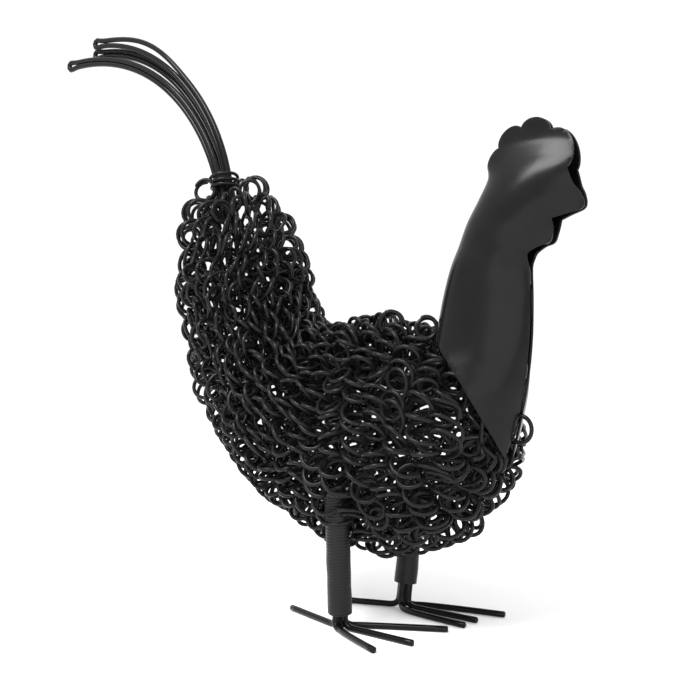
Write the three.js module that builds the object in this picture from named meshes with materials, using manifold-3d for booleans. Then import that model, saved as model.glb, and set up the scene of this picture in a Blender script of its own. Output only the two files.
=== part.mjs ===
// Wire rooster standing on its two feet, made of black coated steel wire and one folded steel sheet.
// Millimetres, +Z up, beak towards +X, the bird's left side towards +Y.

import * as THREE from 'three';
import { mergeVertices } from 'three/addons/utils/BufferGeometryUtils.js';
import Module from 'manifold-3d';

const wasm = await Module();
wasm.setup();

// Gap between pieces that touch
const touchGap = 0.3;

// Wires and sheet
const toeWire = 2.9;
const wrapWire = 1.4;
const tailWire = 2.6;
const bindingWire = 1.8;
const springLoop = 11.6;
const sheetThickness = 1;

// Feet: the middle of each foot on the ground, and the lean of the legs for each millimetre of height
const footHalfSpread = 23.5;
const leftFootForward = 1;
const legLeanForward = 0.049;
const legLeanOutward = 0.108;
const legTop = 64;
const rightWrapBottom = 7.5;
const leftWrapBottom = 13.5;
const wrapShortOfTop = 2;
const toeBendRadius = 5;
const toeStraight = 11;

// Body coil: rows of the spring stand between an outer and an inner profile in the middle plane,
// both from the tail root to the chest, given as distance forward and height of the spring's middle
const springRows = 26;
const outerProfile = [
  [-102, 209], [-110, 190], [-113, 165], [-109, 139], [-100, 114], [-86, 90],
  [-66, 67], [-39, 47], [-8, 37], [24, 37], [51, 50], [66, 72],
];
const innerProfile = [
  [-76, 208], [-62, 189], [-54, 171], [-50, 157], [-46, 145], [-39, 136],
  [-30, 131], [-18, 131], [-4, 134], [16, 135], [42, 126], [64.5, 107],
];
const rowHalfWidths = [13, 24, 29, 31, 33, 35, 37, 39, 40, 39, 34, 24];
const rowSides = 14;
const rowSteps = 4;
const rowGroove = 0.3;

// Tail feathers: hairpins side by side, rooted in the coil below and behind the middle of its top row.
// They share a guide above their roots. Their own guides and tips are measured ahead of the furthest
// tip, which is tailReach behind the feet, and below the highest tip, which is tailHeight above the ground.
const tailReach = 218;
const tailHeight = 302.5;
const tailRootDepth = 18.5;
const tailRootBehind = 3;
const tailBindingDepth = 1.5;
const tailBindingTurns = 3;
const tailBindingSlack = 0.7;
const tipLoop = 7.5;
const tailSides = 6;
const tailSteps = 14;
const tailFan = 0.9;
const tailGuideBehind = 3.5;
const tailGuideRise = 49;
const hairpins = [
  { name: 'tail_feather_lower', place: -1, guide: [76, 9.5], tip: [0, 10], spread: 0 },
  { name: 'tail_feather_upper', place: 0, guide: [91, 4.5], tip: [20, 0], spread: 1 },
  { name: 'tail_feather_middle', place: 1, guide: [84, 6.5], tip: [16, 5.5], spread: 0 },
];

// Toes of each foot, as distance forward and outward from the foot's middle to the tip of the toe.
// The heading is how the toe leaves the leg, in degrees from straight ahead towards the outside.
const rightToes = [
  { name: 'outer', tip: [33.5, 20], heading: 36, place: 90 },
  { name: 'middle', tip: [40.4, 2], heading: 2, place: 0 },
  { name: 'inner', tip: [40.5, -25], heading: -36, place: -90 },
  { name: 'back', tip: [-38.4, -11], heading: 196, place: 180 },
];
const leftToes = [
  { name: 'inner', tip: [42, -12], heading: -36, place: -90 },
  { name: 'middle', tip: [42, -1.5], heading: -2, place: 0 },
  { name: 'outer', tip: [47, 15], heading: 36, place: 90 },
  { name: 'back', tip: [-35, -11], heading: 197, place: 180 },
];

// Head and neck sheet: levels from the tip of the bib to the top of the comb.
// nape, widest and front are distances forward, half is the greatest half width,
// opening is the half width at the front edge, and round is 2 where the front closes like an ellipse.
const sheetLevels = [
  { z: 68, nape: 41.5, widest: 52, front: 69.5, half: 20, opening: 2, round: 1.3 },
  { z: 80, nape: 40.5, widest: 51, front: 72.5, half: 24, opening: 2, round: 1.3 },
  { z: 92, nape: 39, widest: 50, front: 76, half: 26, opening: 1.9, round: 1.3 },
  { z: 105, nape: 37.8, widest: 50, front: 78.7, half: 25, opening: 1.8, round: 1.4 },
  { z: 116, nape: 37.5, widest: 51, front: 80.2, half: 21, opening: 1.7, round: 1.4 },
  { z: 128, nape: 38.8, widest: 52, front: 81.5, half: 17, opening: 1.6, round: 1.4 },
  { z: 146, nape: 41.8, widest: 55, front: 82.2, half: 15, opening: 1.5, round: 1.3 },
  { z: 159, nape: 45.2, widest: 59, front: 82, half: 14, opening: 1.7, round: 1.1 },
  { z: 168, nape: 48.6, widest: 64, front: 91, half: 12.5, opening: 2.8, round: 0.6 },
  { z: 178, nape: 52.4, widest: 70, front: 104, half: 12, opening: 1.6, round: 0.5 },
  { z: 188, nape: 58, widest: 77, front: 108, half: 10.3, opening: 1.5, round: 0.6 },
  { z: 197, nape: 62, widest: 82, front: 108, half: 7.3, opening: 1.5, round: 0.7 },
  { z: 205, nape: 60.5, widest: 86, front: 108, half: 3.8, opening: 1.4, round: 0.8 },
  { z: 212, nape: 64, widest: 88, front: 108, half: 1.8, opening: 1.3, round: 1 },
  { z: 226, nape: 66, widest: 90, front: 108, half: 1.4, opening: 1.3, round: 1 },
];
const sheetRows = 18;
const sheetColumns = 12;

// Cut edge of the sheet seen from the side, from the nape round the comb, beak, wattle and bib
const combNotches = [[62.5, 196], [67.3, 208.8], [77.9, 216.2], [91.3, 213.6], [100.5, 196.9]];
const combLobes = [
  { rear: 2.4, fore: 2.4 }, { rear: 3.8, fore: 3.8 }, { rear: 4.4, fore: 4.4 }, { rear: 7.2, fore: 4.4 },
];
const beakEdge = [[102.6, 190.6], [105, 186.8], [106.2, 182.8], [104.8, 180.1], [98.5, 178.4], [93.6, 177]];
const wattleEdge = [[93.4, 172.5], [91.6, 167.8], [87, 166.2], [83.4, 164.4]];
const neckFrontEdge = [
  [82, 161], [82.3, 145], [82, 130], [80.8, 117], [79, 105], [76.4, 94], [73.7, 85], [71.6, 79],
];
const bibEdge = [[70.2, 85], [69, 91.5], [66.5, 99], [63, 105.5], [58.8, 112], [53.2, 119], [42, 124]];

const steel = { color: 0x14151a, metalness: 0.35, roughness: 0.42 };
const rooster = new THREE.Group();

/** A wire's centre line whose cross-sections stand exactly at the given points. */
class WireRoute extends THREE.Curve {
  constructor(points) {
    super();
    this.points = points;
  }

  getPoint(t, target = new THREE.Vector3()) {
    return target.copy(this.points[Math.round(t * (this.points.length - 1))]);
  }

  getPointAt(u, target) {
    return this.getPoint(u, target);
  }

  getTangentAt(u, target = new THREE.Vector3()) {
    const at = Math.round(u * (this.points.length - 1));
    const before = this.points[Math.max(at - 1, 0)];
    const after = this.points[Math.min(at + 1, this.points.length - 1)];
    return target.subVectors(after, before).normalize();
  }
}

function addPiece(name, geometry, roughness = steel.roughness) {
  const material = new THREE.MeshStandardMaterial({ ...steel, roughness });
  const mesh = new THREE.Mesh(geometry, material);
  mesh.name = name;
  rooster.add(mesh);
  return mesh;
}

function closedSolid(geometry) {
  const bare = geometry.index ? geometry.toNonIndexed() : geometry.clone();
  bare.deleteAttribute('normal');
  bare.deleteAttribute('uv');
  const merged = mergeVertices(bare, 1e-4);
  return new wasm.Manifold(new wasm.Mesh({
    numProp: 3,
    vertProperties: new Float32Array(merged.attributes.position.array),
    triVerts: new Uint32Array(merged.index.array),
  }));
}

function solidGeometry(solid) {
  const mesh = solid.getMesh();
  const geometry = new THREE.BufferGeometry();
  geometry.setAttribute('position', new THREE.Float32BufferAttribute(mesh.vertProperties, 3));
  geometry.setIndex(Array.from(mesh.triVerts));
  geometry.computeVertexNormals();
  return geometry;
}

function wireGeometry(points, diameter, sides) {
  const section = new THREE.Shape();
  for (let side = 0; side < sides; side += 1) {
    const angle = (side + 0.5) * 2 * Math.PI / sides;
    const corner = [Math.cos(angle) * diameter / 2, Math.sin(angle) * diameter / 2];
    if (side === 0) {
      section.moveTo(...corner);
    } else {
      section.lineTo(...corner);
    }
  }
  section.closePath();
  return new THREE.ExtrudeGeometry(section, {
    steps: points.length - 1,
    extrudePath: new WireRoute(points),
    bevelEnabled: false,
  });
}

function ringGeometry(innerRadius, outerRadius, length, sides) {
  const profile = [
    new THREE.Vector2(innerRadius, 0),
    new THREE.Vector2(outerRadius, 0),
    new THREE.Vector2(outerRadius, length),
    new THREE.Vector2(innerRadius, length),
    new THREE.Vector2(innerRadius, 0),
  ];
  return new THREE.LatheGeometry(profile, sides).rotateX(Math.PI / 2);
}

function moveVertices(geometry, place) {
  const position = geometry.attributes.position;
  const point = new THREE.Vector3();
  for (let i = 0; i < position.count; i += 1) {
    point.fromBufferAttribute(position, i);
    place(point);
    position.setXYZ(i, point.x, point.y, point.z);
  }
  return geometry;
}

function smoothCurve(points) {
  return new THREE.CatmullRomCurve3(points, false, 'catmullrom', 0.5);
}

// Legs and toes

const bundleRadius = (toeWire + touchGap) / Math.SQRT2;
const wrapInnerRadius = bundleRadius + toeWire / 2 + touchGap;
const wrapOuterRadius = wrapInnerRadius + wrapWire;
const toeHeight = toeWire / 2 * Math.cos(Math.PI / 8);

function legDirection(side) {
  return new THREE.Vector3(legLeanForward, side * legLeanOutward, 1).normalize();
}

function footMiddle(side) {
  const forward = side > 0 ? leftFootForward : 0;
  return new THREE.Vector3(forward, side * footHalfSpread, toeHeight);
}

/** Direction in the ground plane: outward is the side the foot stands on. */
function groundDirection(degrees, side) {
  const angle = THREE.MathUtils.degToRad(degrees);
  return new THREE.Vector3(Math.cos(angle), side * Math.sin(angle), 0);
}

function toeRoute(toe, side) {
  const up = legDirection(side);
  const foot = footMiddle(side);
  const corner = foot.clone().addScaledVector(groundDirection(toe.place, side), bundleRadius);
  const heading = groundDirection(toe.heading, side);
  const leaving = corner.clone().addScaledVector(heading, toeBendRadius);
  const guide = corner.clone().addScaledVector(heading, toeStraight);
  const tip = foot.clone().add(new THREE.Vector3(toe.tip[0], side * toe.tip[1], 0));
  const rising = corner.clone().addScaledVector(up, toeBendRadius);
  const top = corner.clone().addScaledVector(up, (legTop - toeHeight) / up.z);
  const ground = new THREE.QuadraticBezierCurve3(tip, guide, leaving).getPoints(4);
  const bend = new THREE.QuadraticBezierCurve3(leaving, corner, rising).getPoints(4);
  return [...ground, ...bend.slice(1), top];
}

function addLeg(label, side, toes, wrapBottom) {
  for (const toe of toes) {
    addPiece(`${label}_toe_${toe.name}`, wireGeometry(toeRoute(toe, side), toeWire, 8));
  }
  const up = legDirection(side);
  const length = (legTop - wrapShortOfTop - wrapBottom) / up.z;
  const wrap = addPiece(`${label}_leg_wrap`, ringGeometry(wrapInnerRadius, wrapOuterRadius, length, 16));
  wrap.position.copy(footMiddle(side)).addScaledVector(up, (wrapBottom - toeHeight) / up.z);
  wrap.quaternion.setFromUnitVectors(new THREE.Vector3(0, 0, 1), up);
}

/** The room that a leg takes inside the body coil. */
function legRoom(side) {
  const up = legDirection(side);
  const length = (legTop + touchGap) / up.z;
  const room = new THREE.CylinderGeometry(wrapOuterRadius + touchGap, wrapOuterRadius + touchGap, length, 16);
  room.rotateX(Math.PI / 2).translate(0, 0, length / 2);
  room.applyQuaternion(new THREE.Quaternion().setFromUnitVectors(new THREE.Vector3(0, 0, 1), up));
  const foot = footMiddle(side);
  const floor = foot.addScaledVector(up, -foot.z / up.z);
  return closedSolid(room.translate(floor.x, floor.y, 0));
}

// Tail feathers

const tailPitch = tailWire + touchGap;
const loopRadius = (tipLoop - tailWire) / 2;

function hairpinSpine(hairpin) {
  const inPlane = (forward, height) => new THREE.Vector3(forward, hairpin.place * tailPitch, height);
  const towardsTip = ([ahead, below]) => inPlane(ahead - tailReach, tailHeight - below);
  const topRow = rowSection(0).middle;
  const forward = topRow.x - tailRootBehind + hairpin.place * tailFan;
  const height = topRow.z - tailRootDepth;
  return new THREE.CubicBezierCurve3(
    inPlane(forward, height),
    inPlane(forward - tailGuideBehind, height + tailGuideRise),
    towardsTip(hairpin.guide),
    towardsTip(hairpin.tip),
  );
}

/** The middle line of the whole bundle of tail feathers. */
function bundleSpine() {
  return hairpinSpine({ ...hairpins.at(-1), place: 0 });
}

function hairpinRoute(hairpin) {
  const spine = hairpinSpine(hairpin);
  const across = new THREE.Vector3(0, 1, 0);
  const upperLeg = [];
  const lowerLeg = [];
  for (let step = 0; step <= tailSteps; step += 1) {
    const along = step / tailSteps;
    const bow = hairpin.spread * Math.sin(Math.PI * Math.max(0, 2 * along - 1)) ** 2;
    const under = new THREE.Vector3().crossVectors(spine.getTangentAt(along), across);
    const middle = spine.getPointAt(along);
    upperLeg.push(middle.clone().addScaledVector(under, -tailPitch / 2 - bow));
    lowerLeg.push(middle.clone().addScaledVector(under, tailPitch / 2));
  }
  const ahead = spine.getTangentAt(1);
  const under = new THREE.Vector3().crossVectors(ahead, across);
  const loop = [];
  for (let degrees = -120; degrees <= 120; degrees += 40) {
    const angle = THREE.MathUtils.degToRad(degrees);
    loop.push(spine.getPointAt(1)
      .addScaledVector(ahead, loopRadius * (1 + Math.cos(angle)))
      .addScaledVector(under, loopRadius * Math.sin(angle)));
  }
  return [...upperLeg, ...loop, ...lowerLeg.reverse()];
}

const bindingInnerRadius = Math.hypot(tailPitch, tailPitch / 2 + tailFan) + tailWire / 2 + tailBindingSlack;
const bindingOuterRadius = bindingInnerRadius + bindingWire;

function addTailBinding() {
  const length = tailBindingTurns * bindingWire;
  const spine = bundleSpine();
  const along = spine.getUtoTmapping((tailRootDepth - tailBindingDepth) / spine.getLength());
  const binding = addPiece('tail_binding', ringGeometry(bindingInnerRadius, bindingOuterRadius, length, 14));
  binding.position.copy(spine.getPoint(along));
  binding.quaternion.setFromUnitVectors(new THREE.Vector3(0, 0, 1), spine.getTangent(along));
}

/** A round room about the tail feathers, from a gap below a place on them to well above the coil's top row. */
function roomAlongTail(from, radius) {
  const spine = bundleSpine();
  const steps = 6;
  const length = tailRootDepth + 2 * springLoop - from;
  const points = [];
  for (let step = 0; step <= steps; step += 1) {
    points.push(spine.getPointAt((from + length * step / steps) / spine.getLength()));
  }
  const below = points[0].clone().sub(points[1]).setLength(2 * touchGap);
  return closedSolid(wireGeometry([points[0].clone().add(below), ...points], 2 * radius, 14));
}

/** The room that the tail feathers and their binding take inside the body coil. */
function tailRoom() {
  const clearance = tailFan + touchGap;
  const feathers = roomAlongTail(0, bindingInnerRadius + clearance);
  return feathers.add(roomAlongTail(tailRootDepth - tailBindingDepth, bindingOuterRadius + clearance));
}

// Body coil

const loopOuterRadius = springLoop / 2;

function flatCurve(points) {
  return smoothCurve(points.map(([forward, height]) => new THREE.Vector3(forward, 0, height)));
}

const outerCurve = flatCurve(outerProfile);
const innerCurve = flatCurve(innerProfile);
const widthCurve = smoothCurve(rowHalfWidths.map((half) => new THREE.Vector3(half, 0, 0)));

/** A point of a profile, carried on past both of its ends. */
function pointBeyondEnds(curve, share) {
  const inside = Math.min(Math.max(share, 0), 1);
  const mirrored = 2 * inside - share;
  const point = curve.getPoint(outerCurve.getUtoTmapping(mirrored));
  if (mirrored === inside) {
    return point;
  }
  const end = curve.getPoint(inside);
  return end.multiplyScalar(2).sub(point);
}

/** Cross-section of the spring rows at a share of the outer profile. */
function rowSection(share) {
  const outer = pointBeyondEnds(outerCurve, share);
  const inner = pointBeyondEnds(innerCurve, share);
  return {
    middle: outer.clone().add(inner).divideScalar(2),
    outward: outer.clone().sub(inner).normalize(),
    halfHeight: outer.distanceTo(inner) / 2,
    halfWidth: pointBeyondEnds(widthCurve, share).x,
  };
}

function bodyCoilSolid() {
  const steps = springRows * rowSteps;
  const tube = new THREE.CylinderGeometry(1, 1, 1, rowSides, steps).translate(0, 0.5, 0);
  moveVertices(tube, (point) => {
    const level = point.y * springRows;
    const section = rowSection((level - 0.5) / (springRows - 1));
    const ridge = Math.sin(Math.PI * (level % 1)) ** 0.7;
    const bulge = loopOuterRadius * (rowGroove + (1 - rowGroove) * ridge);
    const up = point.x * (section.halfHeight + bulge);
    const across = -point.z * (section.halfWidth + bulge);
    point.copy(section.middle).addScaledVector(section.outward, up);
    point.y = across;
  });
  return closedSolid(tube);
}

// Head and neck sheet

function sheetCurve(key) {
  const curve = smoothCurve(sheetLevels.map((level) => new THREE.Vector3(level[key], 0, level.z)));
  return (share) => curve.getPoint(share);
}

const sheetCurves = {};
for (const key of ['nape', 'widest', 'front', 'half', 'opening', 'round']) {
  sheetCurves[key] = sheetCurve(key);
}

/** Half width of the folded sheet at a distance forward, on one level. */
function sheetHalfWidth(level, forward) {
  if (forward < level.widest) {
    const share = (level.widest - forward) / (level.widest - level.nape);
    return level.half * Math.sqrt(Math.max(0, 1 - share ** 2));
  }
  const share = Math.min((forward - level.widest) / (level.front - level.widest), 1);
  return level.opening + (level.half - level.opening) * (1 - share ** 2) ** (1 / level.round);
}

/** Distance forward of a column of the sheet, which are counted from the nape to the front edge. */
function columnForward(level, column) {
  const rearColumns = sheetColumns / 3;
  if (column <= rearColumns) {
    const angle = Math.PI / 2 * column / rearColumns;
    return level.widest - (level.widest - level.nape) * Math.cos(angle);
  }
  const angle = Math.PI / 2 * (column - rearColumns) / (sheetColumns - rearColumns);
  return level.widest + (level.front - level.widest) * Math.sin(angle);
}

/** The closed form that the sheet wraps round, drawn in by inset, with a nose past the sheet's front edge. */
function sheetForm(inset, nose) {
  const around = 2 * (sheetColumns + 1);
  const tube = new THREE.CylinderGeometry(1, 1, 1, around, sheetRows).translate(0, 0.5, 0);
  moveVertices(tube, (point) => {
    const height = sheetCurves.nape(point.y).z;
    const level = {};
    for (const key of Object.keys(sheetCurves)) {
      level[key] = sheetCurves[key](point.y).x;
    }
    level.nape += inset;
    level.half -= inset;
    level.opening -= inset;
    level.front -= inset * (level.round - 1);
    if (Math.hypot(point.x, point.z) < 0.5) {
      point.set(level.widest, 0, height);
      return;
    }
    const angle = Math.atan2(point.x, point.z);
    const column = Math.round(Math.abs(angle) * around / (2 * Math.PI));
    if (column > sheetColumns) {
      point.set(level.front + nose, 0, height);
      return;
    }
    const forward = columnForward(level, column);
    point.set(forward, -Math.sign(angle) * sheetHalfWidth(level, forward), height);
  });
  return closedSolid(tube);
}

/** The sheet's outline from the side, with its bib edge moved out by a margin. */
function sheetOutline(margin) {
  const shape = new THREE.Shape();
  shape.moveTo(...combNotches[0]);
  combLobes.forEach((lobe, i) => {
    const from = new THREE.Vector2(...combNotches[i]);
    const to = new THREE.Vector2(...combNotches[i + 1]);
    const chord = to.clone().sub(from);
    const outward = new THREE.Vector2(-chord.y, chord.x).normalize();
    const first = from.clone().addScaledVector(chord, 0.1).addScaledVector(outward, lobe.rear * 1.4);
    const second = from.clone().addScaledVector(chord, 0.9).addScaledVector(outward, lobe.fore * 1.4);
    shape.bezierCurveTo(first.x, first.y, second.x, second.y, to.x, to.y);
  });
  for (const edge of [beakEdge, wattleEdge, neckFrontEdge]) {
    shape.splineThru(edge.map(([forward, height]) => new THREE.Vector2(forward, height)));
  }
  shape.splineThru(bibEdge.map(([forward, height]) => new THREE.Vector2(forward - margin, height - margin)));
  const behindNape = Math.min(...sheetLevels.map((level) => level.nape)) - springLoop;
  shape.lineTo(behindNape, bibEdge.at(-1)[1] - margin);
  shape.lineTo(behindNape, combNotches[0][1]);
  shape.closePath();
  return shape;
}

/** Everything within the sheet's outline as seen from the side. */
function outlineSolid(margin) {
  const reach = 2 * Math.max(...rowHalfWidths);
  const prism = new THREE.ExtrudeGeometry(sheetOutline(margin), {
    depth: 2 * reach,
    curveSegments: 5,
    bevelEnabled: false,
  });
  return closedSolid(prism.rotateX(Math.PI / 2).translate(0, reach, 0));
}

function sheetSolid() {
  const shell = sheetForm(0, 3).subtract(sheetForm(sheetThickness, 8));
  return shell.intersect(outlineSolid(0));
}

/** The room of the sheet in the coil: its thickness, and whatever would stand out in front of the bib. */
function sheetRoom() {
  const [napeForward, napeHeight] = bibEdge.at(-1);
  const size = 4 * Math.max(...rowHalfWidths);
  const chest = new THREE.BoxGeometry(size, size, size).translate(napeForward + size / 2, 0, napeHeight - size / 2);
  const near = sheetForm(-touchGap, 3).add(closedSolid(chest));
  return near.intersect(outlineSolid(touchGap)).subtract(sheetForm(sheetThickness + touchGap, 0));
}

function fittedCoil() {
  return bodyCoilSolid().subtract(sheetRoom()).subtract(legRoom(-1)).subtract(legRoom(1)).subtract(tailRoom());
}

addPiece('head_and_neck_sheet', solidGeometry(sheetSolid()), 0.38);
addPiece('body_coil', solidGeometry(fittedCoil()));
for (const hairpin of hairpins) {
  addPiece(hairpin.name, wireGeometry(hairpinRoute(hairpin), tailWire, tailSides));
}
addTailBinding();
addLeg('right', -1, rightToes, rightWrapBottom);
addLeg('left', 1, leftToes, leftWrapBottom);

// The origin is on the ground in the middle of the whole piece
const extent = new THREE.Box3().setFromObject(rooster);
rooster.position.set(-(extent.min.x + extent.max.x) / 2, -(extent.min.y + extent.max.y) / 2, -extent.min.z);

export default rooster;
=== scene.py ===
"""Wire rooster: wound spring body, folded sheet head, wire tail feathers and wire feet, coated black."""
import math

import bmesh
import bpy
import numpy as np
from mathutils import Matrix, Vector
from mathutils.geometry import delaunay_2d_cdt


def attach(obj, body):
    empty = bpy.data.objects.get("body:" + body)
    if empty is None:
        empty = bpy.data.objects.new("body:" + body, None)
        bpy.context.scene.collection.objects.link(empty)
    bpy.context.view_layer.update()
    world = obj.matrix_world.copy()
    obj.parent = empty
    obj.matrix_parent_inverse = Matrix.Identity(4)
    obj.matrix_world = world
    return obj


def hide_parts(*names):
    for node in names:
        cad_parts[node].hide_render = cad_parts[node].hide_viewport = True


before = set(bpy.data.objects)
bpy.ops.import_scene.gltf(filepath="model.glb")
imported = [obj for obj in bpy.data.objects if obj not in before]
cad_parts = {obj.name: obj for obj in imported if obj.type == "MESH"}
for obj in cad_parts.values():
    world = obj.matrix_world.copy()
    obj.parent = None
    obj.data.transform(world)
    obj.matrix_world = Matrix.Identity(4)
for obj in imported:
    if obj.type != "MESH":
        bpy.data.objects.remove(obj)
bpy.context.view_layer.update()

MM = 0.001
# The shapes are worked out in millimetres from a point on the ground midway between the feet
FRAME_FORWARD = 59.003
TOUCH_GAP = 0.3
# Degrees by which an edge has to turn to stay sharp
WIRE_CREASE = 50
SLEEVE_CREASE = 60
RIGHT, LEFT = -1, 1


# Curves and tubes

def spline(a, b, c, d, part):
    """Place at this share of the way from b to c on a smooth curve through four points."""
    return 0.5 * (2 * b + (c - a) * part + (2 * a - 5 * b + 4 * c - d) * part ** 2
                  + (3 * b - a - 3 * c + d) * part ** 3)


def catmull(points, share):
    """Smooth curve through points at shares from 0 to 1, its ends carried on straight."""
    points = np.asarray(points, float)
    spans = len(points) - 1
    ends = np.vstack([2 * points[0] - points[1], points, 2 * points[-1] - points[-2]])
    place = np.clip(np.asarray(share, float) * spans, 0, spans - 1e-9)
    first = place.astype(int)
    part = (place - first)[:, None]
    return spline(ends[first], ends[first + 1], ends[first + 2], ends[first + 3], part)


def through(start, points, steps):
    """Places after start on a smooth curve through it and the points, with this many to a span."""
    points = np.array([start, *points], float)
    ends = np.vstack([points[0], points, points[-1]])
    made = []
    for k in range(len(points) - 1):
        for part in np.arange(1, steps + 1) / steps:
            made.append(spline(*ends[k:k + 4], part))
    return made


def bezier(points, steps):
    """Places on a quadratic or cubic curve with these control points."""
    points = np.asarray(points, float)
    degree = len(points) - 1
    t = np.linspace(0, 1, steps + 1)[:, None]
    return sum(math.comb(degree, k) * t ** k * (1 - t) ** (degree - k) * point
               for k, point in enumerate(points))


def run_along(points):
    """Distance of each point from the start of the line."""
    return np.r_[0, np.cumsum(np.linalg.norm(np.diff(points, axis=0), axis=1))]


def sampled(at, run, values):
    """Values that belong to distances along a line, read at other distances."""
    return np.stack([np.interp(at, run, values[:, k]) for k in range(values.shape[1])], axis=1)


def evenly(points, count):
    """The same line with its points the same distance apart."""
    run = run_along(points)
    return sampled(np.linspace(0, run[-1], count), run, points)


def unit(vectors):
    return vectors / np.linalg.norm(vectors, axis=-1, keepdims=True)


def tangents(points):
    return unit(np.gradient(points, axis=0))


def square_to(vectors, axes):
    """The part of each vector at right angles to its axis, one long."""
    return unit(vectors - axes * np.sum(vectors * axes, axis=1, keepdims=True))


def carried_normals(points):
    """Normals along a line that don't twist round it."""
    along = tangents(points)
    normal = np.cross(along[0], [0.0, 1.0, 0.0])
    if np.linalg.norm(normal) < 0.1:
        normal = np.cross(along[0], [1.0, 0.0, 0.0])
    made = []
    for direction in along:
        normal = normal - direction * normal.dot(direction)
        normal = normal / np.linalg.norm(normal)
        made.append(normal)
    return np.array(made)


def bands(rows, columns):
    """Four-sided faces of a grid of vertices that closes on itself round its columns."""
    start = np.arange(rows - 1)[:, None] * columns
    here = np.arange(columns)[None]
    after = (here + 1) % columns
    faces = np.stack([start + here, start + after, start + columns + after, start + columns + here], axis=2)
    return faces.reshape(-1, 4).tolist()


def tube(points, radii, sides):
    """Vertices and faces of a closed tube along points."""
    radii = np.broadcast_to(radii, len(points))
    along = tangents(points)
    normals = square_to(carried_normals(points), along)
    across = np.cross(along, normals)
    angle = np.arange(sides) * 2 * np.pi / sides
    ring = np.cos(angle)[None, :, None] * normals[:, None] + np.sin(angle)[None, :, None] * across[:, None]
    vertices = (points[:, None] + ring * radii[:, None, None]).reshape(-1, 3)
    last = (len(points) - 1) * sides
    caps = [list(range(sides))[::-1], [last + k for k in range(sides)]]
    return vertices, bands(len(points), sides) + caps


def cut_ends(points, radius, chamfer):
    """Points and radii of a wire whose cut ends have a small chamfer."""
    start = unit(points[1] - points[0])
    end = unit(points[-1] - points[-2])
    points = np.vstack([points[0], points[0] + start * chamfer, points[1:-1],
                        points[-1] - end * chamfer, points[-1]])
    radii = np.full(len(points), radius)
    radii[0] = radii[-1] = radius - chamfer
    return points, radii


def make_object(name, vertices, faces):
    """Smooth-shaded mesh from vertices in millimetres."""
    mesh = bpy.data.meshes.new(name)
    places = (np.asarray(vertices, float) + [FRAME_FORWARD, 0, 0]) * MM
    mesh.from_pydata([tuple(v) for v in places], [], faces)
    mesh.validate()
    mesh.polygons.foreach_set("use_smooth", [True] * len(mesh.polygons))
    mesh.update()
    piece = bpy.data.objects.new(name, mesh)
    bpy.context.scene.collection.objects.link(piece)
    return piece


def settle(piece, material, slot, *nodes):
    """Gives a piece its material, hangs it on the root body and hides the parts of the nodes it stands for.
    """
    piece.data.materials.append(material)
    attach(piece, "root")
    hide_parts(*nodes)


def sharpen(piece, degrees):
    """Marks the edges that are not to be smoothed over."""
    work = bmesh.new()
    work.from_mesh(piece.data)
    for edge in work.edges:
        edge.smooth = len(edge.link_faces) == 2 and edge.calc_face_angle() < math.radians(degrees)
    work.to_mesh(piece.data)
    work.free()


def wobble(count, seed, waves):
    """Smooth random numbers, about -1 to 1, with about this many waves in all."""
    random = np.random.RandomState(seed)
    share = np.linspace(0, 1, count)
    made = np.zeros(count)
    for _ in range(7):
        rate = waves * random.uniform(0.5, 1.5)
        made += np.sin(2 * np.pi * (rate * share + random.uniform())) * random.uniform(0.5, 1)
    return made / 3


def uneven(turn, every, seed):
    """Random numbers, about -1 to 1, that change smoothly every so many turns."""
    random = np.random.RandomState(seed)
    values = random.uniform(-1, 1, (int(turn[-1] / every) + 3, 1))
    return catmull(values, turn / every / (len(values) - 1))[:, 0]


# Materials

COATING_IOR = 1.5
CLOUD_SCALE = 90
CLOUD_DETAIL = 3
CLEAN_UP_TO = 0.35
DUSTY_FROM = 0.85
GLOSS_BELOW = 0.04
GLOSS_ABOVE = 0.06
PEEL_DETAIL = 2
PEEL_STRENGTH = 0.5


def black_coating(name, colour, shine, roughness, grain, grain_depth, dust):
    """Satin black powder coating: fine orange peel, uneven gloss and a trace of dust."""
    material = bpy.data.materials.new(name)
    material.use_nodes = True
    nodes, links = material.node_tree.nodes, material.node_tree.links
    shader = nodes["Principled BSDF"]
    shader.inputs["Metallic"].default_value = 0.0
    shader.inputs["IOR"].default_value = COATING_IOR
    shader.inputs["Specular IOR Level"].default_value = shine
    place = nodes.new("ShaderNodeTexCoord")
    cloud = nodes.new("ShaderNodeTexNoise")
    cloud.inputs["Scale"].default_value = CLOUD_SCALE
    cloud.inputs["Detail"].default_value = CLOUD_DETAIL
    peel = nodes.new("ShaderNodeTexNoise")
    peel.inputs["Scale"].default_value = grain
    peel.inputs["Detail"].default_value = PEEL_DETAIL
    for texture in (cloud, peel):
        links.new(place.outputs["Object"], texture.inputs["Vector"])
    tint = nodes.new("ShaderNodeValToRGB")
    tint.color_ramp.elements[0].position = CLEAN_UP_TO
    tint.color_ramp.elements[0].color = (*colour, 1)
    tint.color_ramp.elements[1].position = DUSTY_FROM
    tint.color_ramp.elements[1].color = (*[c + dust for c in colour], 1)
    links.new(cloud.outputs["Fac"], tint.inputs["Fac"])
    links.new(tint.outputs["Color"], shader.inputs["Base Color"])
    gloss = nodes.new("ShaderNodeMapRange")
    gloss.inputs["To Min"].default_value = roughness - GLOSS_BELOW
    gloss.inputs["To Max"].default_value = roughness + GLOSS_ABOVE
    links.new(cloud.outputs["Fac"], gloss.inputs["Value"])
    links.new(gloss.outputs["Result"], shader.inputs["Roughness"])
    bump = nodes.new("ShaderNodeBump")
    bump.inputs["Strength"].default_value = PEEL_STRENGTH
    bump.inputs["Distance"].default_value = grain_depth
    links.new(peel.outputs["Fac"], bump.inputs["Height"])
    links.new(bump.outputs["Normal"], shader.inputs["Normal"])
    return material


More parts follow.
